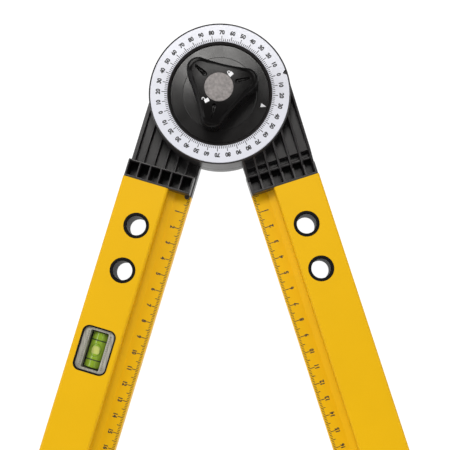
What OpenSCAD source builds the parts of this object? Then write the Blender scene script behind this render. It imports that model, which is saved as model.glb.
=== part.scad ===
// Folding two-arm angle finder: two hollow aluminium arms on a clamped hinge, with a protractor
// dial, a three-lobed clamp knob and a level vial in the left arm.
// Frame: origin on the hinge axis in the plane of the back face, +Z towards the dial.
// The arms point to -Y, half of the opening to each side.

/* [Opening] */
// Angle between the two arms, degrees
opening = 34.5; // [0:0.5:270]

/* [Arms] */
// Length of each aluminium section
arm_length = 600; // [300:50:900]
// Full width of an arm, from the hinge line to the outer edge
arm_width = 42.6; // [38:0.1:60]
// Thickness of the box part of an arm
arm_t = 22; // [18:0.5:30]
// Width of the ruler lip and its slope, along the inner edge
lip_width = 14.1; // [10:0.1:20]
// Height of the ruler lip above the back face
lip_z = 9.8; // [6:0.1:14]
// Width of the slope between the lip and the box part
slope_width = 4.2; // [1:0.1:6]
// Height that the slope climbs
slope_rise = 2.4; // [0.5:0.1:5]
// Wall thickness of the aluminium
wall = 2.2; // [1.2:0.1:4]
// Distance from the hinge axis to the start of the aluminium
arm_start = 62.1; // [55:0.1:80]
// Half of the gap between the inner edges when the tool is closed
edge = 0.15; // [0.1:0.05:1]

/* [Through holes] */
// Distance from the hinge axis to the first hole
hole_first = 89.05; // [80:0.05:120]
// Distance between the two holes of an arm
hole_spacing = 28.2; // [20:0.1:60]
// Distance from the inner edge line to the hole centres
hole_x = 26; // [22:0.5:34]
// Radius of the open bore in a sleeve
sleeve_bore_r = 5.85; // [3:0.05:8]
// Radius of a sleeve's rim
sleeve_rim_r = 7.8; // [5:0.05:10]

/* [Level vial] */
// Distance from the hinge axis to the middle of the vial
vial_at = 168; // [150:0.1:400]
// Distance from the inner edge line to the middle of the vial
vial_x = 28.2; // [24:0.1:34]
// Length of the window along the arm
window_len = 28; // [20:0.5:50]
// Width of the window across the arm
window_w = 20.8; // [14:0.1:24]
// Corner radius of the window
window_r = 4.4; // [1:0.1:6]
// Outside radius of the vial tube
tube_r = 4.95; // [3:0.05:6]
// Length of the vial tube
tube_len = 22; // [14:0.1:30]

/* [Hub and dial] */
// Radius of both hubs
hub_r = 42.4; // [36:0.1:60]
// Height of the dial face above the back face
dial_z = 32.4; // [26:0.1:40]
// Outside radius of the dial ring
ring_r = 41.5; // [35:0.1:58]
// Inside radius of the dial ring
ring_in = 31.3; // [24:0.05:48]
// Thickness of the dial ring
ring_t = 1.4; // [0.6:0.1:3]
// Radius of the pointer disc
disc_r = 29.4; // [22:0.1:46]
// Height of the pointer disc's edge above the back face
disc_z = 31; // [24:0.1:32]

/* [Clamp knob] */
// Distance from the axis to the centre of a lobe
lobe_at = 16.3; // [12:0.1:24]
// Radius of a lobe's rounded end
lobe_r = 7; // [4:0.5:10]
// Distance from the axis to the middle of a hollow flank
flank_at = 14.5; // [10:0.5:20]
// Height of the knob's top above the back face
knob_top = 50.6; // [44:0.1:60]
// Angle of the first lobe, degrees
lobe_angle = 16; // [0:1:119]

/* [Hidden] */
$fn = 96;
far = arm_start + arm_length;
corner = 0.9;
bevel = 0.9;
rear_top = 10.8;
head_w = arm_width - 0.5;
ring_gap = 6.15;
front_low = 11.2;
web_top_left = 6.5;
web_top_right = 18.8;
web_end_right = 46.4;
lap_left = 51.1;
lap_right = 49.8;
stub_start = 54.6;
bar_r = 0.95;
rib = 1.3;
thin_rib = 0.95;
rib_last = 6;
first_left = 41.35;
pitch_left = 6.68;
first_right = 41.9;
pitch_right = 6.8;
block_floor = 8;
end_wall = 1.4;
plug_len = 16;
play = 0.1;
fit = 0.05;
bolt_r = 4;
bolt_flat = 3.3;
bush_r = 8;
well_z = 27.2;
boss_r = 8.5;
screw_at = 70;
screw_x = [20.5, 36.5];
cap_t = 3;
insert_r = 6.2;
knob_low = 32.4;
black = [0.09, 0.09, 0.1];
yellow = [0.95, 0.74, 0.08];
steel = [0.7, 0.71, 0.73];

// ---- placing ----

// Puts children drawn for the right arm (inner edge on x = 0, arm along -Y) in the right arm's place.
module on_right() {
    rotate([0, 0, opening / 2]) children();
}

// The same for the left arm, whose body lies on the other side of its inner edge.
module on_left() {
    rotate([0, 0, -opening / 2]) mirror([1, 0, 0]) children();
}

// A block from x0 to x1 across an arm, v0 to v1 along it and z0 to z1 in height.
module slab(x0, x1, v0, v1, z0, z1) {
    translate([x0, -v1, z0]) cube([x1 - x0, v1 - v0, z1 - z0]);
}

// A block with round corners about the vial's middle.
module window_block(len, w, r, z0, z1) {
    translate([vial_x, -vial_at, z0]) {
        translate([-w / 2 + r, -len / 2, 0]) cube([w - 2 * r, len, z1 - z0]);
        translate([-w / 2, -len / 2 + r, 0]) cube([w, len - 2 * r, z1 - z0]);
        for (sx = [-1, 1], sy = [-1, 1]) {
            translate([sx * (w / 2 - r), sy * (len / 2 - r), 0]) cylinder(r = r, h = z1 - z0);
        }
    }
}

module at_holes() {
    for (i = [0, 1]) {
        translate([hole_x, -hole_first - i * hole_spacing, 0]) children();
    }
}

module at_screws() {
    for (x = screw_x) {
        translate([x, -screw_at, 0]) children();
    }
}

// A cylinder that lies along the arm, centred on the vial.
module along_vial(r, len) {
    translate([vial_x, -vial_at, arm_t / 2]) rotate([90, 0, 0]) cylinder(r = r, h = len, center = true);
}

// ---- arms ----

module arm_outline(gap) {
    polygon([
        [edge + gap, gap],
        [arm_width - gap, gap],
        [arm_width - gap, arm_t - corner - gap],
        [arm_width - corner - gap, arm_t - gap],
        [lip_width + corner + gap, arm_t - gap],
        [lip_width + gap, arm_t - corner - gap],
        [lip_width + gap, lip_z + slope_rise - gap],
        [lip_width - slope_width, lip_z - gap],
        [edge + bevel + gap, lip_z - gap],
        [edge + gap, lip_z - bevel - gap]
    ]);
}

module arm_section() {
    translate([0, -arm_start, 0]) rotate([90, 0, 0]) linear_extrude(height = arm_length) arm_outline(0);
}

module arm_cavities() {
    slab(lip_width + wall, arm_width - wall, arm_start - 1, far + 1, wall, arm_t - wall);
    slab(edge + wall, lip_width - wall + 0.4, arm_start - 1, far + 1, wall, lip_z - wall);
}

module sleeve_holes() {
    at_holes() {
        translate([0, 0, -1]) cylinder(r = sleeve_rim_r - 0.65, h = arm_t + 2);
        translate([0, 0, -1]) cylinder(r = sleeve_rim_r + fit, h = 1.7);
        translate([0, 0, arm_t - 0.7]) cylinder(r = sleeve_rim_r + fit, h = 1.7);
    }
}

module screw_holes() {
    at_screws() {
        translate([0, 0, -0.1]) cylinder(r1 = 4.35, r2 = 2.15, h = 2.3);
        cylinder(r = 2.15, h = wall + 1);
    }
}

module drilled_arm() {
    difference() {
        arm_section();
        arm_cavities();
        sleeve_holes();
        screw_holes();
        children();
    }
}

module left_arm_section() {
    color(yellow) on_left() drilled_arm() window_block(window_len, window_w, window_r, -1, arm_t + 1);
}

module right_arm_section() {
    color(yellow) on_right() drilled_arm();
}

module hole_sleeves() {
    at_holes() rotate_extrude() polygon([
        [sleeve_bore_r, 0.5],
        [sleeve_bore_r + 0.5, 0],
        [sleeve_rim_r, 0],
        [sleeve_rim_r, 0.65],
        [sleeve_rim_r - 0.75, 0.65],
        [sleeve_rim_r - 0.75, arm_t - 0.65],
        [sleeve_rim_r, arm_t - 0.65],
        [sleeve_rim_r, arm_t],
        [sleeve_rim_r - 0.5, arm_t + 0.3],
        [sleeve_bore_r + 0.5, arm_t + 0.3],
        [sleeve_bore_r, arm_t - 0.2]
    ]);
}

module left_arm_hole_sleeves() {
    color(black) on_left() hole_sleeves();
}

module right_arm_hole_sleeves() {
    color(black) on_right() hole_sleeves();
}

// Filling of the section's box part between two distances from the axis.
module box_core(v0, v1) {
    slab(lip_width + wall + play, arm_width - wall - play, v0, v1, wall + play, arm_t - wall - play);
}

// Filling of the section's lip.
module lip_core(v0, v1) {
    slab(edge + wall + play, lip_width - wall + 0.3, v0, v1, wall + play, lip_z - wall - play);
}

module end_cap() {
    translate([0, -far - 0.02, 0]) rotate([90, 0, 0]) linear_extrude(height = cap_t) arm_outline(0);
    difference() {
        box_core(far - 14, far + 1);
        slab(lip_width + 2 * wall, arm_width - 2 * wall, far - 15, far - 1, 2 * wall, arm_t - 2 * wall);
    }
    lip_core(far - 10, far + 1);
}

module left_arm_end_cap() {
    color(black) on_left() end_cap();
}

module right_arm_end_cap() {
    color(black) on_right() end_cap();
}

// ---- heads ----

function rib_x(i, first, pitch) = first - i * pitch;

// The head's tongue inside the aluminium section.
module plugs() {
    box_core(arm_start - 1, arm_start + plug_len);
    lip_core(arm_start - 1, arm_start + 10);
}

module screw_pilots() {
    at_screws() cylinder(r = 1.95, h = 15.3);
}

// One rib along the arm, w wide.
module long_rib(x, w, v0, v1, top) {
    slab(x - w / 2, x + w / 2, v0, v1, 0, top);
}

// The box between the lap and the aluminium: floor, end wall and the foot of each rib.
module block_shell(v0, first, pitch, w, x0, top) {
    slab(edge, head_w, v0, arm_start, 0, block_floor);
    slab(x0, head_w, arm_start - end_wall, arm_start, 0, arm_t);
    for (i = [1:rib_last - 1]) {
        long_rib(rib_x(i, first, pitch), w, v0, arm_start - end_wall / 2, top);
    }
}

module rear_hub_cuts() {
    translate([0, 0, -1]) cylinder(r = 14.1, h = 1 + 1.6);
    cylinder(r = 9.3, h = 5.2);
    translate([-4.1, -4.1, 4]) cube([8.2, 8.2, 5.2]);
    translate([0, 0, 8.6]) cylinder(r = bush_r + 0.02, h = 3);
    difference() {
        translate([0, 0, -1]) cylinder(r = 39.5, h = 6);
        translate([0, 0, -2]) cylinder(r = 17.5, h = 8);
        for (a = [0:30:330]) {
            rotate([0, 0, a]) translate([16, -0.8, -2]) cube([26, 1.6, 8]);
        }
    }
}

module left_arm_head() {
    inner = rib_x(rib_last, first_left, pitch_left);
    color(black) on_left() difference() {
        union() {
            cylinder(r = hub_r, h = rear_top);
            slab(edge, head_w, 0, lap_left + thin_rib, 0, web_top_left);
            slab(head_w - 2.3, head_w, 0, lap_left + thin_rib, 0, rear_top);
            slab(edge, inner + thin_rib / 2, 0, arm_start, 0, rear_top);
            for (i = [1:rib_last - 1]) {
                long_rib(rib_x(i, first_left, pitch_left), thin_rib, 20, lap_left + 0.5, rear_top);
            }
            slab(inner - thin_rib / 2, head_w, lap_left, lap_left + thin_rib, 0, arm_t);
            slab(head_w - thin_rib, head_w, lap_left, arm_start, 0, arm_t);
            long_rib(inner, thin_rib, lap_left, arm_start, arm_t);
            block_shell(lap_left, first_left, pitch_left, thin_rib, inner - thin_rib / 2, arm_t);
            plugs();
            translate([2.6, -arm_start - 0.8, lip_z + 0.05]) cylinder(r = 1.4, h = 2.2);
        }
        rear_hub_cuts();
        screw_pilots();
    }
}

// Turned shape of the front hub: bearing, well for the disc, seat for the ring and outer wall.
module front_hub() {
    rotate_extrude() polygon([
        [bush_r + fit, front_low],
        [13, front_low],
        [13, 21.8],
        [28, 21.8],
        [28, front_low],
        [29, front_low],
        [29, front_low + 1.4],
        [40, front_low + 1.4],
        [40, front_low],
        [hub_r, front_low],
        [hub_r, dial_z - 0.4],
        [hub_r - 0.4, dial_z],
        [ring_r + fit, dial_z],
        [ring_r + fit, dial_z - ring_t],
        [40.4, dial_z - ring_t],
        [40.4, 15],
        [33.6, 15],
        [33.6, dial_z - ring_t],
        [ring_in - fit, dial_z - ring_t],
        [ring_in - fit, dial_z],
        [ring_in - 0.3, dial_z],
        [disc_r + 0.35, dial_z - 1],
        [disc_r + 0.35, well_z],
        [bush_r + fit, well_z]
    ]);
    for (a = [0:60:300]) {
        rotate([0, 0, a]) translate([12, -1, front_low + 0.6]) cube([17, 2, 11]);
    }
}

// A rib of the right head: high at the hub, falling past the cross bar to the stub.
module falling_rib(x, half_w) {
    start = x < hub_r - 1 ? sqrt(pow(hub_r - 1, 2) - x * x) : 3;
    translate([x - half_w, 0, 0]) rotate([90, 0, 90]) linear_extrude(height = 2 * half_w) polygon([
        [-start, front_low],
        [-start, 29.6],
        [-web_end_right, 23],
        [-stub_start, 18],
        [-stub_start, front_low]
    ]);
}

module stub(x0, x1) {
    translate([x0, 0, 0]) rotate([90, 0, 90]) linear_extrude(height = x1 - x0) polygon([
        [-arm_start, 0],
        [-lap_right, 0],
        [-lap_right, 14.5],
        [-stub_start, 14.5],
        [-stub_start, arm_t],
        [-arm_start, arm_t]
    ]);
}

module right_arm_head() {
    inner = rib_x(rib_last, first_right, pitch_right);
    color(black) on_right() {
        difference() {
            union() {
                difference() {
                    union() {
                        slab(edge, head_w, 0, web_end_right, front_low, web_top_right);
                        slab(edge, head_w, 20, lap_right + 1, front_low, 13.5);
                        for (i = [1:rib_last - 1]) {
                            falling_rib(rib_x(i, first_right, pitch_right), rib / 2);
                        }
                        falling_rib(head_w - rib / 2, rib / 2);
                        falling_rib((edge + inner + rib / 2) / 2, (inner + rib / 2 - edge) / 2);
                    }
                    cylinder(r = hub_r - 0.6, h = 50);
                }
                front_hub();
                slab(edge, head_w, lap_right, lap_right + 2 * bar_r, 0, 16);
                translate([edge, -lap_right - bar_r, 16]) rotate([0, 90, 0])
                    cylinder(r = bar_r, h = head_w - edge);
                block_shell(lap_right, first_right, pitch_right, rib, edge, 14.5);
                for (i = [1:rib_last - 1]) {
                    x = rib_x(i, first_right, pitch_right);
                    stub(x - rib / 2, x + rib / 2);
                }
                stub(head_w - rib, head_w);
                stub(edge, inner + rib / 2);
                plugs();
            }
            screw_pilots();
        }
    }
}

module head_screws() {
    at_screws() difference() {
        union() {
            translate([0, 0, 0.1]) cylinder(r1 = 4.1, r2 = 1.9, h = 2.2);
            translate([0, 0, 0.2]) cylinder(r = 1.9, h = 15);
        }
        for (a = [0, 90]) {
            rotate([0, 0, a]) translate([-2.2, -0.45, -0.5]) cube([4.4, 0.9, 2]);
        }
    }
}

module left_head_screws() {
    color(steel) on_left() head_screws();
}

module right_head_screws() {
    color(steel) on_right() head_screws();
}

// ---- hinge and dial ----

module dial_ring() {
    color([0.92, 0.92, 0.95]) rotate([0, 0, opening / 2]) difference() {
        translate([0, 0, dial_z - ring_t]) cylinder(r = ring_r, h = ring_t);
        translate([0, 0, dial_z - ring_t - 1]) cylinder(r = ring_in, h = ring_t + 2);
        translate([ring_r + 0.4, 0, dial_z - ring_t - 1]) linear_extrude(height = ring_t + 2)
            polygon([[0, -1.8], [0, 1.8], [-2.3, 0]]);
    }
}

// Thin dished disc that turns with the left arm, held by the flats of the bolt.
module pointer_disc() {
    color(black) rotate([0, 0, -opening / 2]) difference() {
        rotate_extrude() polygon([
            [0, well_z + play],
            [disc_r - 1.5, well_z + play],
            [disc_r, well_z + play + 1],
            [disc_r, disc_z - 0.4],
            [disc_r - 0.4, disc_z],
            [22, disc_z + 0.45],
            [12, disc_z + 0.8],
            [0, disc_z + 0.8]
        ]);
        bolt_shape(bolt_r + fit, bolt_flat + fit, well_z - 1, disc_z + 2);
    }
}

module bolt_shape(r, flat, z0, z1) {
    intersection() {
        translate([0, 0, z0]) cylinder(r = r, h = z1 - z0);
        translate([-flat, -r - 1, z0]) cube([2 * flat, 2 * r + 2, z1 - z0]);
    }
}

module clamp_bolt() {
    color(steel) rotate([0, 0, -opening / 2]) {
        translate([0, 0, 2]) cylinder(r = 9, h = 3);
        translate([-4, -4, 4.9]) cube([8, 8, 4]);
        cylinder_between(bolt_r, 8, well_z - 0.4);
        bolt_shape(bolt_r, bolt_flat, well_z - 0.5, 45);
    }
}

module cylinder_between(r, z0, z1) {
    translate([0, 0, z0]) cylinder(r = r, h = z1 - z0);
}

module washer(r_in, r_out, z0, z1) {
    difference() {
        cylinder_between(r_out, z0, z1);
        cylinder_between(r_in, z0 - 1, z1 + 1);
    }
}

module hinge_bush() {
    color(steel) washer(bolt_r + fit, bush_r, 8.95, well_z - 0.2);
}

module hub_friction_ring() {
    color([0.3, 0.27, 0.24]) washer(29.1, 39.9, rear_top + play, front_low + 1.38);
}

module rear_hub_cap() {
    color(black) cylinder_between(14, 0, 1.55);
}

module thrust_washer() {
    color(steel) washer(bolt_r + play, 7.6, disc_z + 0.82, disc_z + 1.8);
}

module spring_washer() {
    color(steel) rotate_extrude() polygon([
        [bolt_r + 0.2, disc_z + 2.3],
        [7.2, disc_z + 1.82],
        [7.2, disc_z + 2.3],
        [bolt_r + 0.2, disc_z + 2.78]
    ]);
}

// ---- knob ----

// Lobed column: three round lobes joined by hollow flanks that run tangent into them.
module lobed(z0, z1) {
    r = lobe_r;
    flank_r = (flank_at * flank_at + lobe_at * lobe_at - lobe_at * flank_at - r * r)
        / (lobe_at + 2 * r - 2 * flank_at);
    flank_c = flank_r + flank_at;
    span = flank_r + r;
    translate([0, 0, z0]) difference() {
        union() {
            linear_extrude(height = z1 - z0) polygon([
                for (k = [0:2], s = [-1, 1])
                    lobe_at * polar(120 * k)
                        + (r / span) * (flank_c * polar(120 * k + 60 * s) - lobe_at * polar(120 * k))
            ]);
            for (k = [0:2]) {
                rotate([0, 0, 120 * k]) translate([lobe_at, 0, 0]) cylinder(r = r, h = z1 - z0);
            }
        }
        for (k = [0:2]) {
            rotate([0, 0, 120 * k + 60]) translate([flank_c, 0, -1])
                cylinder(r = flank_r + 0.08, h = z1 - z0 + 2);
        }
    }
}

function polar(a) = [cos(a), sin(a)];

// Grip mark in a lobe: a round-ended recess with a ridge left standing in it.
module lobe_mark() {
    difference() {
        union() {
            translate([9.4, -1.35, -2.2]) cube([7, 2.7, 5]);
            translate([9.4, 0, -2.2]) cylinder(r = 1.35, h = 5);
            translate([16.4, 0, -2.2]) cylinder(r = 1.35, h = 5);
        }
        translate([10, -0.3, -3]) cube([7.6, 0.6, 2.4]);
    }
}

// Turned shape that the lobed column is cut from, lower towards the lobe ends.
module knob_dome() {
    rotate_extrude() polygon([
        [0, knob_low],
        [lobe_at + lobe_r - 0.4, knob_low],
        [lobe_at + lobe_r, knob_low + 0.6],
        [lobe_at + lobe_r, knob_top - 3],
        [lobe_at + lobe_r - 0.9, knob_top - 1.7],
        [lobe_at + lobe_r - 2.6, knob_top - 0.9],
        [boss_r + 1.5, knob_top],
        [0, knob_top]
    ]);
}

module clamp_knob() {
    color(black) rotate([0, 0, lobe_angle]) difference() {
        intersection() {
            lobed(knob_low, knob_top);
            knob_dome();
        }
        for (k = [0:2]) {
            rotate([0, 0, 120 * k]) translate([lobe_at, 0, 0])
                cylinder_between(lobe_r - 2.4, knob_low - 1, knob_low + 10.9);
        }
        cylinder_between(insert_r + 0.03, knob_low - 1, 46);
        cylinder_between(8.3, knob_low - 1, 34.5);
        cylinder_between(boss_r + 0.03, knob_top - 1, knob_top + 1);
        for (k = [0:2]) {
            rotate([0, 0, 120 * k]) translate([0, 0, knob_top - 0.8]) lobe_mark();
        }
    }
}

module knob_boss_cap() {
    color([0.2, 0.2, 0.21]) rotate_extrude() polygon([
        [0, knob_top - 0.98],
        [boss_r, knob_top - 0.98],
        [boss_r, knob_top - 0.1],
        [boss_r - 0.6, knob_top + 0.3],
        [4, knob_top + 0.55],
        [0, knob_top + 0.6]
    ]);
}

module knob_threaded_insert() {
    color([0.75, 0.6, 0.3]) difference() {
        union() {
            cylinder_between(insert_r, 33.9, 45.8);
            cylinder_between(8.1, 33.9, 34.48);
        }
        cylinder_between(bolt_r + fit, 30, 47);
    }
}

// ---- vial ----

module vial_window_frame() {
    color(black) on_left() difference() {
        window_block(window_len - 0.1, window_w - 0.1, window_r - 0.05, 0.3, arm_t + 0.25);
        window_block(window_len - 1.8, window_w - 1.8, window_r - 0.9, -1, arm_t + 2);
    }
}

// Clear block with saw-cut sides that holds the vial tube.
module vial_holder_block() {
    len = window_len - 1.9;
    w = window_w - 1.9;
    color([0.8, 0.83, 0.84, 0.5]) on_left() difference() {
        window_block(len, w, window_r - 0.95, 1.2, arm_t - 0.9);
        along_vial(tube_r + 0.4, tube_len + 0.3);
        for (s = [-1, 1], k = [-3:3]) {
            translate([vial_x + s * (w / 2 - 0.35), -vial_at + 2.6 * k, arm_t - 1.3])
                cube([3.2, 0.8, 2.4], center = true);
        }
    }
}

module vial_tube() {
    color([0.8, 0.9, 0.7, 0.4]) on_left() difference() {
        along_vial(tube_r, tube_len);
        along_vial(tube_r - 0.45, tube_len - 1.6);
    }
}

module bubble_shape(r) {
    translate([vial_x, -vial_at, arm_t / 2 + 1.5]) {
        rotate([90, 0, 0]) cylinder(r = r, h = 2.6, center = true);
        for (s = [-1, 1]) {
            translate([0, 1.3 * s, 0]) sphere(r = r);
        }
    }
}

module vial_liquid() {
    color([0.6, 0.75, 0.2, 0.6]) on_left() difference() {
        along_vial(tube_r - 0.48, tube_len - 1.7);
        bubble_shape(2.42);
    }
}

module vial_bubble() {
    color([0.85, 0.95, 0.5, 0.5]) on_left() bubble_shape(2.4);
}

module vial_reading_rings() {
    color(black) on_left() for (s = [-1, 1]) {
        translate([0, ring_gap * s, 0]) difference() {
            along_vial(tube_r + 0.3, 0.7);
            along_vial(tube_r + 0.03, 2);
        }
    }
}

left_arm_section();
right_arm_section();
left_arm_head();
right_arm_head();
left_arm_hole_sleeves();
right_arm_hole_sleeves();
left_arm_end_cap();
right_arm_end_cap();
left_head_screws();
right_head_screws();
dial_ring();
pointer_disc();
clamp_knob();
knob_boss_cap();
knob_threaded_insert();
clamp_bolt();
thrust_washer();
spring_washer();
hinge_bush();
hub_friction_ring();
rear_hub_cap();
vial_window_frame();
vial_holder_block();
vial_tube();
vial_liquid();
vial_bubble();
vial_reading_rings();
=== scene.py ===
import math

import bmesh
import bpy
from mathutils import Matrix, Vector


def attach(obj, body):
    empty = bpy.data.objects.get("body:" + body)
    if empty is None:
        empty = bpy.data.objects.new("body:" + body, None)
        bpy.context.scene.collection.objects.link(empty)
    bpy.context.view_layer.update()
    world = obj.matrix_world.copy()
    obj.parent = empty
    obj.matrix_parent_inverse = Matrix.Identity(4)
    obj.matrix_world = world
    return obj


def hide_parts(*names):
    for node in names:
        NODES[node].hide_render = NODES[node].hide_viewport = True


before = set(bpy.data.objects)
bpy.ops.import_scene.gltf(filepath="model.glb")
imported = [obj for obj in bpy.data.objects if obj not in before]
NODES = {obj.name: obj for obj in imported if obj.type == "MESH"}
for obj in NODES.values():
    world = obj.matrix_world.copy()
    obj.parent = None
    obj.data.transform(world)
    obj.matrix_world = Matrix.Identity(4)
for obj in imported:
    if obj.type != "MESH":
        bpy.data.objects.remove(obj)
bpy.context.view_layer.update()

# Sizes are in millimetres here and turned into metres where a mesh is made.
MM = 0.001
HALF = math.radians(34.5 / 2)

ARM_START = 62.1
ARM_END = 662.1
ARM_W = 42.6
ARM_T = 22.0
EDGE = 0.15
LIP_W = 14.1
LIP_Z = 9.8
SLOPE_W = 4.2
SLOPE_RISE = 2.4
SCALE_ZERO = 62.76
HOLES = (89.05, 117.25)
HOLE_X = 26.0
SLEEVE_BORE_R = 5.85
SLEEVE_BODY_R = 7.0
SLEEVE_RIM_R = 7.8
VIAL_AT = 168.0
VIAL_X = 28.2
WINDOW = (20.8, 28.0, 4.4)
TUBE_R = 4.85
TUBE_HALF = 11.0
READING_AT = 6.1
DIAL_Z = 32.4
RING_R = 41.5
RING_IN = 31.3
NUMBERS_AT = 36.9
DISC_R = 29.4
DISC_LOW = 27.35
DISC_CREASE = 22
ARROW_TIP = 28.6
KNOB_LOW = 32.4
KNOB_TOP = 50.6
LOBE_AT = 16.7
LOBE_R = 7.0
FLANK_AT = 14.5
LOBE_TURN = math.radians(16)
BOSS_R = 8.5
ARROW_TURN = math.radians(-16)

TURN_RIGHT = Matrix.Rotation(HALF, 4, "Z")
TURN_LEFT = Matrix.Rotation(-HALF, 4, "Z")
ON_RIGHT = TURN_RIGHT
ON_LEFT = TURN_LEFT @ Matrix.Scale(-1, 4, (1, 0, 0))


# ---- materials ----


class Paint:
    """A node material built round one Principled shader, with helpers for procedural detail."""

    def __init__(self, name, rough, metallic=0.0, **sockets):
        self.mat = bpy.data.materials.new(name)
        self.mat.use_nodes = True
        self.tree = self.mat.node_tree
        self.tree.nodes.clear()
        self.out = self.tree.nodes.new("ShaderNodeOutputMaterial")
        self.shader = self.tree.nodes.new("ShaderNodeBsdfPrincipled")
        self.tree.links.new(self.shader.outputs[0], self.out.inputs[0])
        self.shader.inputs["Roughness"].default_value = rough
        self.shader.inputs["Metallic"].default_value = metallic
        for key, value in sockets.items():
            self.shader.inputs[key.replace("_", " ")].default_value = value
        self.coords = self.tree.nodes.new("ShaderNodeTexCoord").outputs["Object"]

    def noise(self, scale, detail=2.0, stretch=(1, 1, 1)):
        """Noise with about one feature per 1 / scale metres."""
        mapping = self.tree.nodes.new("ShaderNodeMapping")
        mapping.inputs["Scale"].default_value = stretch
        node = self.tree.nodes.new("ShaderNodeTexNoise")
        node.inputs["Scale"].default_value = scale
        node.inputs["Detail"].default_value = detail
        self.tree.links.new(self.coords, mapping.inputs[0])
        self.tree.links.new(mapping.outputs[0], node.inputs["Vector"])
        return node.outputs[0]

    def spread(self, source, low, high, at=(0.3, 0.7)):
        """Maps a 0-1 field to values from low to high."""
        node = self.tree.nodes.new("ShaderNodeMapRange")
        for key, value in zip(("From Min", "From Max", "To Min", "To Max"), (*at, low, high)):
            node.inputs[key].default_value = value
        self.tree.links.new(source, node.inputs["Value"])
        return node.outputs[0]

    def ramp(self, source, *stops):
        """Colour ramp through (position, colour) stops."""
        node = self.tree.nodes.new("ShaderNodeValToRGB")
        elements = node.color_ramp.elements
        while len(elements) < len(stops):
            elements.new(0.5)
        for element, (position, colour) in zip(elements, stops):
            element.position = position
            element.color = (*colour, 1)
        self.tree.links.new(source, node.inputs[0])
        return node.outputs[0]

    def wear(self, colour_output, worn, width, amount):
        """Rubs the colour towards a worn one along edges, in a broken line."""
        bevel = self.tree.nodes.new("ShaderNodeBevel")
        bevel.samples = 3
        bevel.inputs["Radius"].default_value = width * MM
        surface = self.tree.nodes.new("ShaderNodeNewGeometry")
        dot = self.tree.nodes.new("ShaderNodeVectorMath")
        dot.operation = "DOT_PRODUCT"
        self.tree.links.new(bevel.outputs[0], dot.inputs[0])
        self.tree.links.new(surface.outputs["Normal"], dot.inputs[1])
        edge = self.spread(dot.outputs["Value"], 1.0, 0.0, (0.86, 0.985))
        broken = self.spread(self.noise(700, 3), 0.25, 1.0, (0.38, 0.62))
        mask = self.tree.nodes.new("ShaderNodeMath")
        mask.operation = "MULTIPLY"
        self.tree.links.new(edge, mask.inputs[0])
        self.tree.links.new(broken, mask.inputs[1])
        mix = self.tree.nodes.new("ShaderNodeMix")
        mix.data_type = "RGBA"
        mix.inputs[7].default_value = (*worn, 1)
        self.tree.links.new(self.spread(mask.outputs[0], 0.0, amount, (0, 1)), mix.inputs[0])
        self.tree.links.new(colour_output, mix.inputs[6])
        return mix.outputs[2]

    def colour(self, output):
        self.tree.links.new(output, self.shader.inputs["Base Color"])

    def roughness(self, output):
        self.tree.links.new(output, self.shader.inputs["Roughness"])

    def bump(self, *layers):
        """Bump layers of (height field, distance in millimetres, strength), one on top of the other."""
        normal = None
        for field, distance, strength in layers:
            node = self.tree.nodes.new("ShaderNodeBump")
            node.inputs["Distance"].default_value = distance * MM
            node.inputs["Strength"].default_value = strength
            self.tree.links.new(field, node.inputs["Height"])
            if normal:
                self.tree.links.new(normal, node.inputs["Normal"])
            normal = node.outputs[0]
        self.tree.links.new(normal, self.shader.inputs["Normal"])


def shade(colour, factor):
    return tuple(c * factor for c in colour)


def powder_coat():
    p = Paint("powder_coat", 0.42, Specular_IOR_Level=0.12)
    base = (0.86, 0.485, 0.004)
    cloudy = p.noise(26, 3)
    peel = p.noise(900, 2)
    grit = p.noise(5200, 1)
    body = p.ramp(cloudy, (0.3, shade(base, 0.955)), (0.7, base))
    p.colour(p.wear(body, (0.95, 0.62, 0.05), 0.5, 0.45))
    p.roughness(p.spread(peel, 0.36, 0.5))
    p.bump((peel, 0.05, 0.35), (grit, 0.012, 0.3))
    return p.mat


def moulded(name, base, rough, grain=3600, depth=0.02, strength=0.4, **sockets):
    """Moulded plastic with a spark-eroded grain, faint flow marks and rubbed edges."""
    p = Paint(name, rough, **sockets)
    flow = p.noise(60, 4, (1, 1, 0.4))
    fine = p.noise(grain, 2)
    body = p.ramp(flow, (0.3, shade(base, 0.8)), (0.72, shade(base, 1.25)))
    p.colour(p.wear(body, shade(base, 2.6), 0.3, 0.6))
    p.roughness(p.spread(flow, rough - 0.05, rough + 0.07))
    p.bump((fine, depth, strength))
    return p.mat


def frosted_boss():
    """Eroded, faintly mottled face whose grey is partly painted highlight: light reflected off the knob's
    top, put into the colour.
    """
    p = Paint("boss_grey_painted_highlight", 0.5)
    spots = p.noise(620, 4)
    fine = p.noise(1900, 2)
    # painted highlight: these greys stand partly for light reflected off the boss top
    dark, middle, pale = (0.15, 0.138, 0.134), (0.26, 0.236, 0.23), (0.36, 0.33, 0.32)
    p.colour(p.ramp(spots, (0.3, dark), (0.55, middle), (0.72, pale)))
    p.roughness(p.spread(spots, 0.4, 0.62))
    p.bump((spots, 0.12, 0.6), (fine, 0.05, 0.6))
    return p.mat


def printed(name, base, spot=0.88, rough=0.5):
    """Pad-printed ink: a little uneven in cover and gloss."""
    p = Paint(name, rough)
    cover = p.noise(2400, 3)
    p.colour(p.ramp(cover, (0.35, shade(base, spot)), (0.6, base)))
    p.roughness(p.spread(cover, rough - 0.08, rough + 0.1))
    return p.mat


def white_dial():
    p = Paint("dial_white_face", 0.34, Coat_Weight=0.1, Coat_Roughness=0.15)
    base = (0.72, 0.73, 0.80)
    p.colour(p.ramp(p.noise(45, 3), (0.3, shade(base, 0.96)), (0.7, base)))
    p.roughness(p.spread(p.noise(800, 2), 0.28, 0.42))
    p.bump((p.noise(2600, 2), 0.01, 0.25))
    return p.mat


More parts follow.
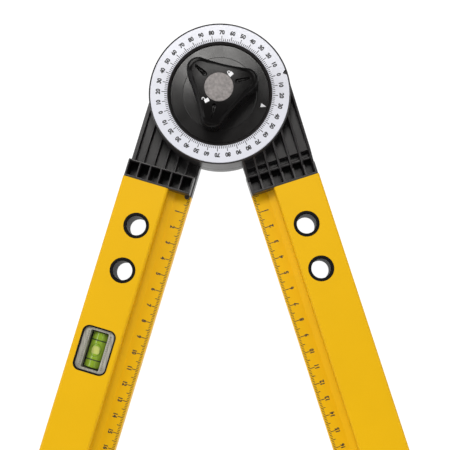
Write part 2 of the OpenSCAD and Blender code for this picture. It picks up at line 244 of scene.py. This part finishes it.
def turned_metal(name, base, rough):
    """Machined metal with fine turning lines round the hinge axis."""
    p = Paint(name, rough, 1.0)
    lines = p.noise(700, 2, (1, 1, 14))
    p.colour(p.ramp(p.noise(120, 3), (0.3, shade(base, 0.85)), (0.7, base)))
    p.roughness(p.spread(lines, rough - 0.08, rough + 0.12))
    p.bump((lines, 0.01, 0.3))
    return p.mat


def clear_plastic(name, base, rough, transmission, ior=1.49, stretch=(3, 0.35, 1)):
    p = Paint(name, rough, IOR=ior, Transmission_Weight=transmission)
    streak = p.noise(420, 3, stretch)
    p.colour(p.ramp(streak, (0.3, shade(base, 0.62)), (0.66, base)))
    p.roughness(p.spread(streak, rough * 0.6, rough * 1.5))
    p.bump((streak, 0.12, 0.5))
    return p.mat


def green_spirit():
    p = Paint("green_spirit", 0.12, IOR=1.36, Coat_Weight=0.5, Coat_Roughness=0.05)
    deep = (0.29, 0.45, 0.03)
    p.colour(p.ramp(p.noise(160, 2, (1, 0.4, 1)), (0.3, shade(deep, 0.88)), (0.7, shade(deep, 1.08))))
    p.roughness(p.spread(p.noise(300, 2), 0.08, 0.2))
    return p.mat


PAINT = {
    "section": powder_coat(),
    "head": moulded(
        "head_plastic_black", (0.024, 0.022, 0.0225), 0.36, 2600, 0.03, 0.45, Specular_IOR_Level=0.38
    ),
    # black plastic, made darker than the other plastics as painted shade for the inside of the holes
    "sleeve": moulded("sleeve_black_painted_shade", (0.006, 0.0056, 0.0056), 0.5, Specular_IOR_Level=0.08),
    "cap": moulded("cap_plastic_black", (0.024, 0.024, 0.025), 0.5),
    "disc": moulded(
        "disc_satin_black", (0.009, 0.0083, 0.0083), 0.21, 1900, 0.008, 0.2, Specular_IOR_Level=0.26
    ),
    "knob": moulded(
        "knob_satin_black", (0.005, 0.0046, 0.0046), 0.25, 2200, 0.008, 0.2, Specular_IOR_Level=0.09
    ),
    "boss": frosted_boss(),
    "fibre": moulded("friction_fibre_brown", (0.10, 0.075, 0.055), 0.8, 900, 0.2, 0.8),
    "dial": white_dial(),
    "steel": turned_metal("zinc_steel", (0.60, 0.60, 0.61), 0.32),
    "brass": turned_metal("turned_brass", (0.72, 0.50, 0.22), 0.3),
    "ink": printed("ink_black", (0.010, 0.009, 0.011), 0.7),
    "scale_ink": printed("ink_brown_black", (0.035, 0.020, 0.010), 0.75),
    "white_ink": printed("ink_white", (0.86, 0.86, 0.88)),
    "acrylic": clear_plastic("acrylic_block", (0.58, 0.56, 0.48), 0.16, 0.0),
    "spirit": green_spirit(),
    "bubble": clear_plastic("bubble_pale", (0.72, 0.78, 0.22), 0.08, 0.0, 1.1),
    "meniscus": clear_plastic("meniscus_dark_green", (0.22, 0.36, 0.03), 0.1, 0.0, 1.3),
    "band": printed("band_black", (0.02, 0.035, 0.012), 0.7),
}


# ---- mesh helpers ----


def piece(name, bm, paint, body, place=None, smooth=38, replaces=()):
    """Turns a bmesh drawn in millimetres into a piece that rides on a body."""
    bmesh.ops.recalc_face_normals(bm, faces=bm.faces)
    mesh = bpy.data.meshes.new(name)
    bm.to_mesh(mesh)
    bm.free()
    mesh.transform(Matrix.Scale(MM, 4))
    if place is not None:
        mesh.transform(place)
        if place.determinant() < 0:
            mesh.flip_normals()
    return finish_piece(name, mesh, paint, body, smooth, replaces)


def finish_piece(name, mesh, paint, body, smooth=38, replaces=()):
    mesh.materials.clear()
    mesh.materials.append(PAINT[paint])
    mesh.polygons.foreach_set("use_smooth", [True] * len(mesh.polygons))
    mesh.polygons.foreach_set("material_index", [0] * len(mesh.polygons))
    mesh.set_sharp_from_angle(angle=math.radians(smooth))
    mesh.update()
    obj = bpy.data.objects.new(name, mesh)
    bpy.context.scene.collection.objects.link(obj)
    weighted = obj.modifiers.new("even_normals", "WEIGHTED_NORMAL")
    weighted.keep_sharp = True
    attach(obj, body)
    if replaces:
        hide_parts(*replaces)
    return obj


def revolved(profile, steps=160):
    """Ring of quads round Z through a closed (radius, z) profile."""
    bm = bmesh.new()
    rings = []
    for i in range(steps):
        a = 2 * math.pi * i / steps
        rings.append([bm.verts.new((r * math.cos(a), r * math.sin(a), z)) for r, z in profile])
    for i in range(steps):
        a, b = rings[i], rings[(i + 1) % steps]
        for j in range(len(profile)):
            k = (j + 1) % len(profile)
            bm.faces.new((a[j], b[j], b[k], a[k]))
    bmesh.ops.remove_doubles(bm, verts=bm.verts, dist=1e-4)
    return bm


def rounded(points, radii, steps=5):
    """Closed 2-D outline with each corner rounded by its own radius."""
    out = []
    n = len(points)
    for i in range(n):
        p, q, s = (Vector(points[k % n]) for k in (i - 1, i, i + 1))
        r = radii[i]
        if r <= 0:
            out.append(tuple(q))
            continue
        u, v = (p - q).normalized(), (s - q).normalized()
        half = u.angle(v) / 2
        back = min(r / math.tan(half), (p - q).length * 0.49, (s - q).length * 0.49)
        r = back * math.tan(half)
        centre = q + (u + v).normalized() * (r / math.sin(half))
        a, b = q + u * back - centre, q + v * back - centre
        for k in range(steps + 1):
            t = k / steps
            w = a.lerp(b, t)
            out.append(tuple(centre + w.normalized() * r))
    return out


def prism(outline, low, high, swap=False):
    """Solid between two copies of an outline. With swap, the outline is (x, z) and it runs along -Y."""
    bm = bmesh.new()
    ends = []
    for level in (low, high):
        ends.append([bm.verts.new((x, -level, y) if swap else (x, y, level)) for x, y in outline])
    n = len(outline)
    for i in range(n):
        j = (i + 1) % n
        bm.faces.new((ends[0][i], ends[0][j], ends[1][j], ends[1][i]))
    bm.faces.new(ends[0])
    bm.faces.new(list(reversed(ends[1])))
    return bm


def carve(bm, cutters):
    """Cuts the cutter bmeshes out of bm with exact booleans and returns the result."""
    target = temp_object("carve_target", bm)
    tools = [temp_object("carve_tool", c) for c in cutters]
    for tool in tools:
        mod = target.modifiers.new("cut", "BOOLEAN")
        mod.operation = "DIFFERENCE"
        mod.solver = "EXACT"
        mod.object = tool
    bpy.context.view_layer.update()
    graph = bpy.context.evaluated_depsgraph_get()
    result = bmesh.new()
    result.from_mesh(target.evaluated_get(graph).to_mesh())
    for obj in (target, *tools):
        bpy.data.objects.remove(obj)
    return result


def temp_object(name, bm):
    bmesh.ops.recalc_face_normals(bm, faces=bm.faces)
    mesh = bpy.data.meshes.new(name)
    bm.to_mesh(mesh)
    bm.free()
    obj = bpy.data.objects.new(name, mesh)
    bpy.context.scene.collection.objects.link(obj)
    return obj


def shifted(bm, x=0.0, y=0.0, z=0.0):
    bmesh.ops.translate(bm, verts=bm.verts, vec=(x, y, z))
    return bm


def round_rect(w, h, r, steps=7):
    points = [(-w / 2, -h / 2), (w / 2, -h / 2), (w / 2, h / 2), (-w / 2, h / 2)]
    return rounded(points, [r] * 4, steps)


def polished(node, name, width, paint, body, smooth=40):
    """A copy of a CAD node with its sharp edges rounded off, standing for the node."""
    bm = bmesh.new()
    bm.from_mesh(NODES[node].data)
    bmesh.ops.remove_doubles(bm, verts=bm.verts, dist=2e-6)
    sharp = [e for e in bm.edges if len(e.link_faces) == 2 and e.calc_face_angle(0) > math.radians(40)]
    bmesh.ops.bevel(
        bm, geom=sharp, offset=width * MM, segments=2, profile=0.5, affect="EDGES", clamp_overlap=False
    )
    mesh = bpy.data.meshes.new(name)
    bm.to_mesh(mesh)
    bm.free()
    return finish_piece(name, mesh, paint, body, smooth, (node,))


# ---- print ----

GLYPHS = {}


def glyph(text, height, bold):
    """Flat faces of a number, centred, with digits of the given height."""
    if (text, bold) not in GLYPHS:
        curve = bpy.data.curves.new("number", "FONT")
        curve.body = text
        curve.align_x = "CENTER"
        curve.align_y = "CENTER"
        curve.resolution_u = 3
        curve.offset = bold
        obj = bpy.data.objects.new("number", curve)
        bpy.context.scene.collection.objects.link(obj)
        bpy.context.view_layer.update()
        mesh = obj.evaluated_get(bpy.context.evaluated_depsgraph_get()).to_mesh()
        points = [v.co.copy() for v in mesh.vertices]
        lo = Vector(map(min, *points)) if len(points) > 1 else points[0]
        hi = Vector(map(max, *points))
        middle = (lo + hi) / 2
        tall = hi.y - lo.y
        faces = [tuple(f.vertices) for f in mesh.polygons]
        GLYPHS[text, bold] = ([(p - middle) / tall for p in points], faces)
        bpy.data.objects.remove(obj)
        bpy.data.curves.remove(curve)
    points, faces = GLYPHS[text, bold]
    return [p * height for p in points], faces


def add_number(bm, text, height, place, narrow=0.86, bold=0.03):
    points, faces = glyph(text, height, bold)
    verts = [bm.verts.new(place @ Vector((p.x * narrow, p.y, 0))) for p in points]
    for face in faces:
        bm.faces.new([verts[i] for i in face])


def add_bar(bm, length, width, place):
    """Thin printed bar from the place's origin along its X axis."""
    corners = ((0, -width / 2), (length, -width / 2), (length, width / 2), (0, width / 2))
    bm.faces.new([bm.verts.new(place @ Vector((x, y, 0))) for x, y in corners])


def thicken(bm, depth=0.03):
    """Gives flat print a thickness downwards, so that it is a closed skin."""
    faces = list(bm.faces)
    for face in faces:
        if face.normal.z < 0:
            face.normal_flip()
    made = bmesh.ops.extrude_face_region(bm, geom=faces, use_keep_orig=True)
    moved = [g for g in made["geom"] if isinstance(g, bmesh.types.BMVert)]
    bmesh.ops.translate(bm, verts=moved, vec=(0, 0, -depth))
    return bm


def at(x, y, z, turn=0.0):
    return Matrix.Translation((x, y, z)) @ Matrix.Rotation(turn, 4, "Z")


def ruler_print(side):
    """Millimetre ticks and centimetre numbers of one arm, tops towards the inner edge."""
    bm = bmesh.new()
    z = LIP_Z + 0.02
    into = 0.0 if side > 0 else math.pi
    reading = math.pi / 2 if side > 0 else -math.pi / 2
    last = int(ARM_END - SCALE_ZERO) - 1
    for k in range(0, last + 1):
        y = -(SCALE_ZERO + k)
        length = 3.85 if k % 10 == 0 else 2.7 if k % 5 == 0 else 1.4
        add_bar(bm, length, 0.44 if k % 5 == 0 else 0.38, at(side * 0.6, y, z, into))
        if k and k % 10 == 0:
            add_number(bm, str(k // 10), 2.85, at(side * 6.0, y, z, reading), 0.86, 0.055)
    return thicken(bm)


def dial_print():
    """Ticks every two degrees and four runs of 0 to 90, tops outwards; angle 0 is the right arm's side."""
    bm = bmesh.new()
    z = DIAL_Z + 0.02
    for k in range(0, 360, 2):
        a = math.radians(k)
        length = 1.5 if k % 10 else 3.2
        start = RING_IN + 0.25
        add_bar(bm, length, 0.42, at(start * math.cos(a), start * math.sin(a), z, a))
    for k in range(0, 360, 10):
        a = math.radians(k)
        value = k % 180
        value = 180 - value if value > 90 else value
        place = at(NUMBERS_AT * math.cos(a), NUMBERS_AT * math.sin(a), z, a - math.pi / 2)
        add_number(bm, str(value), 2.8, place, 0.92, 0.055)
    return thicken(bm)


# ---- arms ----


def arm_profile():
    points = [
        (EDGE, 0), (ARM_W, 0), (ARM_W, ARM_T), (LIP_W, ARM_T), (LIP_W, LIP_Z + SLOPE_RISE),
        (LIP_W - SLOPE_W, LIP_Z), (EDGE + 0.4, LIP_Z), (EDGE, LIP_Z - 0.4),
    ]
    return rounded(points, [0.5, 0.7, 1.5, 1.5, 0.6, 1.2, 0.25, 0.25])


def build_arm(side, body, place, name, window):
    bar = prism(arm_profile(), ARM_START, ARM_END, swap=True)
    disc = [(7.3 * math.cos(2 * math.pi * i / 72), 7.3 * math.sin(2 * math.pi * i / 72)) for i in range(72)]
    cutters = [shifted(prism(disc, -1, ARM_T + 1), HOLE_X, -v) for v in HOLES]
    if window:
        cutters.append(shifted(prism(round_rect(*WINDOW), -1, ARM_T + 1), VIAL_X, -VIAL_AT))
    bar = carve(bar, cutters)
    piece(f"{name}_section_coated", bar, "section", body, place, 30, (f"{name}_section",))
    turn = TURN_RIGHT if side > 0 else TURN_LEFT
    piece(f"{name}_ruler_print", ruler_print(side), "scale_ink", body, turn)
    rims = bmesh.new()
    for v in HOLES:
        one = shifted(revolved(sleeve_profile(), 96), HOLE_X, -v)
        mesh = bpy.data.meshes.new("rim")
        one.to_mesh(mesh)
        one.free()
        rims.from_mesh(mesh)
    node = f"{name}_hole_sleeves"
    piece(f"{name}_sleeves_moulded", rims, "sleeve", body, place, 50, (node,))
    polished(f"{name}_end_cap", f"{name}_end_cap_moulded", 0.35, "cap", body)


def sleeve_profile():
    top = ARM_T + 0.3
    points = [
        (SLEEVE_BORE_R, 0.2), (SLEEVE_BORE_R + 0.45, 0.0), (SLEEVE_RIM_R, 0.0), (SLEEVE_RIM_R, 0.6),
        (SLEEVE_BODY_R, 0.6), (SLEEVE_BODY_R, ARM_T - 0.5), (SLEEVE_RIM_R, ARM_T - 0.5),
        (SLEEVE_RIM_R, top), (SLEEVE_BORE_R + 0.25, top), (SLEEVE_BORE_R, top - 0.7),
    ]
    return rounded(points, [0.1, 0.1, 0.1, 0, 0, 0, 0, 0.45, 0.5, 0.3], 4)


build_arm(-1, "left_arm", ON_LEFT, "left_arm", True)
build_arm(1, "right_arm", ON_RIGHT, "right_arm", False)

# ---- heads ----

polished("left_arm_head", "left_arm_head_moulded", 0.22, "head", "left_arm")
polished("right_arm_head", "right_arm_head_moulded", 0.22, "head", "right_arm")

# ---- dial, disc and pointer ----


def notched_ring():
    profile = [(RING_IN, 31.0), (RING_R, 31.0), (RING_R, DIAL_Z), (RING_IN, DIAL_Z)]
    ring = revolved(rounded(profile, [0, 0, 0.25, 0.25], 3), 240)
    notch = prism([(RING_R + 0.5, -2.1), (RING_R + 0.5, 2.1), (RING_R - 2.2, 0)], 30, 34)
    return carve(ring, [notch])


piece("dial_ring_face", notched_ring(), "dial", "right_arm", TURN_RIGHT, 40, ("dial_ring",))
piece("dial_numbers_print", dial_print(), "ink", "right_arm", TURN_RIGHT)


def disc_top(r):
    """Height of the pointer disc: a shallow cone with a faint crease, flat in the middle."""
    if r > DISC_CREASE:
        return 30.5 + (DISC_R - r) * 0.07
    return 31.1 + (DISC_CREASE - max(r, 12)) * 0.05


EDGE_Z = disc_top(DISC_R - 0.2)
DISC_PROFILE = [
    (4.2, DISC_LOW), (DISC_R - 1.1, DISC_LOW), (DISC_R, DISC_LOW + 1.05),
    (DISC_R, EDGE_Z), (DISC_R - 0.2, EDGE_Z),
]
DISC_PROFILE += [(r, disc_top(r)) for r in (26.0, 22.15, 21.85, 16.0, 12.0, 4.2)]
DISC_ROUND = rounded(DISC_PROFILE, [0, 0.5, 0.5, 0.3, 0.3, 0, 0.2, 0.2, 0, 3.0, 0], 5)
DISC_MESH = revolved(DISC_ROUND, 240)
piece("pointer_disc_satin", DISC_MESH, "disc", "left_arm", None, 30, ("pointer_disc",))


def arrow_print():
    bm = bmesh.new()
    rows = [(ARROW_TIP, 0.05)] + [(ARROW_TIP - 3.2 * k / 6, 1.25 * k / 6) for k in range(1, 7)]
    edges = [[bm.verts.new((r, side * w, disc_top(r) + 0.05)) for side in (-1, 1)] for r, w in rows]
    for a, b in zip(edges, edges[1:]):
        bm.faces.new((a[0], a[1], b[1], b[0]))
    return thicken(bm, 0.2)


TURN_ARROW = Matrix.Rotation(ARROW_TURN, 4, "Z")
piece("pointer_arrow_print", arrow_print(), "white_ink", "left_arm", TURN_ARROW)

# ---- knob ----


def lobed_radius(angle, inset):
    """Distance from the axis to the knob's outline at an angle, with the outline moved in by inset."""
    a = (angle + math.pi / 3) % (2 * math.pi / 3) - math.pi / 3
    r = LOBE_R - inset
    m = FLANK_AT - inset
    flank = (m * m + LOBE_AT * LOBE_AT - LOBE_AT * m - r * r) / (LOBE_AT + 2 * r - 2 * m)
    centre = flank + m
    reach = []
    under = r * r - (LOBE_AT * math.sin(a)) ** 2
    if under > 0:
        reach.append(LOBE_AT * math.cos(a) + math.sqrt(under))
    b = math.pi / 3 - abs(a)
    tangent = Vector((LOBE_AT, 0)).lerp(Vector((centre / 2, centre * math.sqrt(3) / 2)), r / (flank + r))
    if abs(a) < math.atan2(tangent.y, tangent.x) and reach:
        return reach[0]
    return centre * math.cos(b) - math.sqrt(flank * flank - (centre * math.sin(b)) ** 2)


def groove(x, y):
    """Depth of a lobe's grip groove at a point: wide and deep at the inner end, with a ridge along it."""
    start, end = 10.0, 19.0
    along = min(max(x, start + 1.4), end - 0.6)
    run = (along - start) / (end - start)
    half = 1.5 - 0.9 * run
    away = math.hypot(x - along, y)
    inside = min(max((half - away) / 0.35, 0), 1)
    depth = 1.7 * (1 - 0.7 * run)
    ridge = 0.0
    if 11.6 < x < 18.4:
        ridge = 0.75 * min(max((0.45 - 0.2 * run - abs(y)) / 0.2, 0), 1)
    return depth * inside * inside * (3 - 2 * inside) * (1 - ridge)


KNOB_ROUND = 1.3
KNOB_DROP = 1.15


def knob_surface(r):
    """Height of the knob's crowned top before the grooves."""
    ease = min(max((r - BOSS_R) / 13.0, 0), 1)
    return KNOB_TOP + 0.05 - KNOB_DROP * (0.3 * ease + 0.7 * ease * ease)


def build_knob():
    """Closed skin of rings: bottom edge, flared sides, rounded rim and a crowned, grooved top."""
    bm = bmesh.new()
    steps = 720
    rim = KNOB_TOP + 0.05 - KNOB_DROP
    sides = [(0.4, KNOB_LOW), (0.0, KNOB_LOW + 0.5), (0.05, KNOB_LOW + 5), (0.2, KNOB_LOW + 13)]
    sides.append((0.3, rim - KNOB_ROUND))
    for degrees in (15, 30, 45, 60, 75):
        t = math.radians(degrees)
        sides.append((0.3 + KNOB_ROUND * (1 - math.cos(t)), rim - KNOB_ROUND + KNOB_ROUND * math.sin(t)))
    inner = 0.3 + KNOB_ROUND
    rings = [[lobed_radius(2 * math.pi * i / steps, inset) for i in range(steps)] for inset, z in sides]
    heights = [[z] * steps for inset, z in sides]
    outline = [lobed_radius(2 * math.pi * i / steps, inner) for i in range(steps)]
    for k in range(1, 41):
        t = k / 40
        ring = [r * (1 - t) + (BOSS_R + 0.05) * t for r in outline]
        level = []
        for i, r in enumerate(ring):
            local = (2 * math.pi * i / steps + math.pi / 3) % (2 * math.pi / 3) - math.pi / 3
            edge = rim - KNOB_ROUND * (1 - math.sin(math.radians(80)))
            crown = edge + (knob_surface(r) - edge) * min(k / 6, 1)
            level.append(crown - groove(r * math.cos(local), r * math.sin(local)))
        rings.append(ring)
        heights.append(level)
    loops = []
    for ring, level in zip(rings, heights):
        turns = [2 * math.pi * i / steps for i in range(steps)]
        points = [(r * math.cos(a), r * math.sin(a), z) for r, a, z in zip(ring, turns, level)]
        loops.append([bm.verts.new(point) for point in points])
    for low, high in zip(loops, loops[1:]):
        for i in range(steps):
            j = (i + 1) % steps
            bm.faces.new((low[i], low[j], high[j], high[i]))
    bm.faces.new(list(reversed(loops[0])))
    bm.faces.new(loops[-1])
    return bm


TURN_KNOB = Matrix.Rotation(LOBE_TURN, 4, "Z")
KNOB_MESH = build_knob()
piece("clamp_knob_moulded", KNOB_MESH, "knob", "clamp_knob", TURN_KNOB, 60, ("clamp_knob",))

BOSS_PROFILE = [
    (0.001, KNOB_TOP - 0.9), (BOSS_R, KNOB_TOP - 0.9), (BOSS_R, KNOB_TOP + 0.25),
    (5.6, KNOB_TOP + 0.5), (0.001, KNOB_TOP + 0.58),
]
BOSS_ROUND = rounded(BOSS_PROFILE, [0, 0, 0.45, 1.5, 0], 5)
BOSS_MESH = revolved(BOSS_ROUND, 128)
piece("knob_boss_cap_painted_highlight", BOSS_MESH, "boss", "clamp_knob", None, 40, ("knob_boss_cap",))


def padlock(bm, place, closed):
    """Lock icon: a solid body and a shackle, turned aside when it is open."""
    body = round_rect(2.3, 1.75, 0.25, 2)
    bm.faces.new([bm.verts.new(place @ Vector((x, y - 0.6, 0))) for x, y in body])
    arc = [math.radians(a) for a in range(0, 181, 20)]
    shift = Vector((0, 0.28, 0)) if closed else Vector((-1.1, 0.5, 0))
    outer = [Vector((0.78 * math.cos(a), 0.3 + 0.9 * math.sin(a), 0)) + shift for a in arc]
    inner = [Vector((0.42 * math.cos(a), 0.3 + 0.52 * math.sin(a), 0)) + shift for a in arc]
    outer = [Vector((outer[0].x, 0.1, 0))] + outer + ([Vector((outer[-1].x, 0.1, 0))] if closed else [])
    inner = [Vector((inner[0].x, 0.1, 0))] + inner + ([Vector((inner[-1].x, 0.1, 0))] if closed else [])
    a = [bm.verts.new(place @ v) for v in outer]
    b = [bm.verts.new(place @ v) for v in inner]
    for i in range(len(a) - 1):
        bm.faces.new((a[i], a[i + 1], b[i + 1], b[i]))


def lock_icons():
    bm = bmesh.new()
    for degrees, radius, closed in ((50.5, 10.2, True), (224, 10.3, False)):
        a = math.radians(degrees)
        turn = math.radians(45 if closed else 28)
        padlock(bm, at(radius * math.cos(a), radius * math.sin(a), 0, turn) @ Matrix.Scale(1.22, 4), closed)
    for v in bm.verts:
        v.co.z = knob_surface(math.hypot(v.co.x, v.co.y)) + 0.05
    return thicken(bm, 0.25)


piece("lock_icons_print", lock_icons(), "white_ink", "clamp_knob")

# ---- vial ----


def saw_block():
    """Clear block round the vial: round corners, saw-cut long sides and a channel that shows the tube."""
    outline = []
    w, h, r = 18.8, 26.0, 3.4
    for x, y in round_rect(w, h, r, 6):
        outline.append((x, y))
    block = prism(outline, 1.3, ARM_T - 2.2)
    channel = prism(round_rect(11.2, 23.4, 0.8, 3), 5.2, ARM_T + 1)
    back = prism(round_rect(10.6, 23.4, 0.8, 3), 0, 3.2)
    cutters = [channel, back]
    for s in (-1, 1):
        for k in range(-8, 9):
            tooth = prism([(0, -0.55), (1.5, -0.1), (0, 0.35)], ARM_T - 3.2, ARM_T)
            cutters.append(shifted(tooth, s * 5.9 if s > 0 else -7.4, k * 1.28))
    return shifted(carve(block, cutters), VIAL_X, -VIAL_AT)


def lying_capsule(radius, length, flat=1.0):
    """Capsule along Y, squeezed in height by flat."""
    bm = bmesh.new()
    bmesh.ops.create_uvsphere(bm, u_segments=40, v_segments=24, radius=radius)
    for v in bm.verts:
        along = v.co.z + math.copysign(length / 2 - radius, v.co.z) if abs(v.co.z) > 1e-6 else 0
        v.co = Vector((v.co.x, along, v.co.y * flat))
    return bm


def lying_tube(profile, steps=72):
    """Solid of revolution about Y from a (radius, y) profile."""
    bm = revolved([(r, y) for r, y in profile], steps)
    for v in bm.verts:
        v.co = Vector((v.co.x, v.co.z, v.co.y))
    return bm


def to_vial(bm, up=0.0):
    return shifted(bm, VIAL_X, -VIAL_AT, ARM_T / 2 + up)


HOLDER = saw_block()
HELD = ("vial_holder_block",)
piece("vial_holder_clear", HOLDER, "acrylic", "left_arm", ON_LEFT, 30, HELD)
TUBE_PROFILE = [(0.001, -TUBE_HALF), (TUBE_R, -TUBE_HALF), (TUBE_R, TUBE_HALF), (0.001, TUBE_HALF)]
TUBE = rounded(TUBE_PROFILE, [0, 0.7, 0.7, 0], 4)
piece("vial_spirit_filled", to_vial(lying_tube(TUBE)), "spirit", "left_arm", ON_LEFT, 40,
      ("vial_tube", "vial_liquid"))
BUBBLE = to_vial(lying_capsule(2.85, 7.5, 0.62), 3.35)
piece("vial_bubble_lens", BUBBLE, "bubble", "left_arm", ON_LEFT, 60, ("vial_bubble",))


def bubble_edge():
    """Dark rim where the bubble meets the tube: an oval ring that follows the tube's curve."""
    bm = bmesh.new()
    rings = []
    for i in range(48):
        a = 2 * math.pi * i / 48
        ring = []
        for j in range(8):
            b = 2 * math.pi * j / 8
            x, y = (2.95 + 0.32 * math.cos(b)) * math.cos(a), (3.85 + 0.32 * math.cos(b)) * math.sin(a)
            ring.append(bm.verts.new((x, y, math.sqrt(4.9 ** 2 - x * x) - 0.12 + 0.2 * math.sin(b))))
        rings.append(ring)
    for i in range(48):
        a, b = rings[i], rings[(i + 1) % 48]
        for j in range(8):
            k = (j + 1) % 8
            bm.faces.new((a[j], b[j], b[k], a[k]))
    return to_vial(bm)


piece("vial_bubble_meniscus", bubble_edge(), "meniscus", "left_arm", ON_LEFT, 60)


def reading_bands():
    bm = bmesh.new()
    for y in (-READING_AT, READING_AT):
        ring = shifted(lying_tube([(4.8, -0.3), (5.1, -0.3), (5.1, 0.3), (4.8, 0.3)]), 0, y)
        mesh = bpy.data.meshes.new("band")
        ring.to_mesh(mesh)
        ring.free()
        bm.from_mesh(mesh)
    return to_vial(bm)


BANDS = reading_bands()
piece("vial_reading_bands", BANDS, "band", "left_arm", ON_LEFT, 40, ("vial_reading_rings",))

# ---- CAD nodes that keep their shape and get a better finish ----

KEPT = {
    "left_head_screws": "steel",
    "right_head_screws": "steel",
    "clamp_bolt": "steel",
    "thrust_washer": "steel",
    "spring_washer": "steel",
    "hinge_bush": "steel",
    "knob_threaded_insert": "brass",
    "hub_friction_ring": "fibre",
    "rear_hub_cap": "cap",
    "vial_window_frame": "sleeve",
}
for node, paint in KEPT.items():
    NODES[node].data.materials.clear()
    NODES[node].data.materials.append(PAINT[paint])

# ---- floor, light and camera ----


def build_floor():
    bm = bmesh.new()
    bmesh.ops.create_grid(bm, x_segments=1, y_segments=1, size=6.0)
    mesh = bpy.data.meshes.new("floor")
    bm.to_mesh(mesh)
    bm.free()
    p = Paint("floor_white", 0.9, Emission_Color=(1, 1, 1, 1), Emission_Strength=1.0)
    p.colour(p.ramp(p.noise(1.5, 2), (0.3, (0.10, 0.10, 0.10)), (0.7, (0.12, 0.12, 0.12))))
    mesh.materials.append(p.mat)
    floor = bpy.data.objects.new("floor", mesh)
    bpy.context.scene.collection.objects.link(floor)
    floor.location.z = -0.0006


def area_light(name, place, aim, size_x, size_y, power, colour=(1, 1, 1)):
    light = bpy.data.lights.new(name, "AREA")
    light.shape = "RECTANGLE"
    light.size = size_x
    light.size_y = size_y
    light.energy = power
    light.color = colour
    obj = bpy.data.objects.new(name, light)
    bpy.context.scene.collection.objects.link(obj)
    obj.location = place
    obj.rotation_euler = (Vector(aim) - Vector(place)).to_track_quat("-Z", "Y").to_euler()


def build_camera():
    camera = bpy.data.cameras.new("camera")
    camera.sensor_width = 36
    camera.lens = 87.7
    camera.shift_y = 0.1
    camera.clip_start = 0.05
    camera.clip_end = 20
    obj = bpy.data.objects.new("camera", camera)
    bpy.context.scene.collection.objects.link(obj)
    right = Vector((0.999686, -0.008783, -0.023464))
    up = Vector((0.010002, 0.99858, 0.052331))
    back = right.cross(up)
    axes = Matrix((right, up, back)).transposed().to_4x4()
    obj.matrix_world = Matrix.Translation((0.0171, -0.1392, 0.6781)) @ axes
    bpy.context.scene.camera = obj


def build_world():
    world = bpy.data.worlds.new("studio")
    world.use_nodes = True
    background = world.node_tree.nodes["Background"]
    background.inputs[0].default_value = (1, 1, 1, 1)
    background.inputs[1].default_value = 0.1
    bpy.context.scene.world = world
    bpy.context.scene.view_settings.view_transform = "Standard"
    bpy.context.scene.view_settings.look = "None"


build_floor()
build_world()
area_light("north_softbox", (-0.09, 0.62, 1.56), (0, -0.05, 0), 0.5, 0.42, 12, (1, 0.985, 0.965))
area_light("west_softbox", (-1.45, -0.1, 1.25), (0, -0.2, 0), 1.2, 1.4, 16)
area_light("east_softbox", (1.45, -0.1, 1.25), (0, -0.2, 0), 1.2, 1.4, 11)
area_light("south_fill", (0.1, -1.9, 1.5), (0, -0.3, 0), 1.4, 1.0, 11)
build_camera()
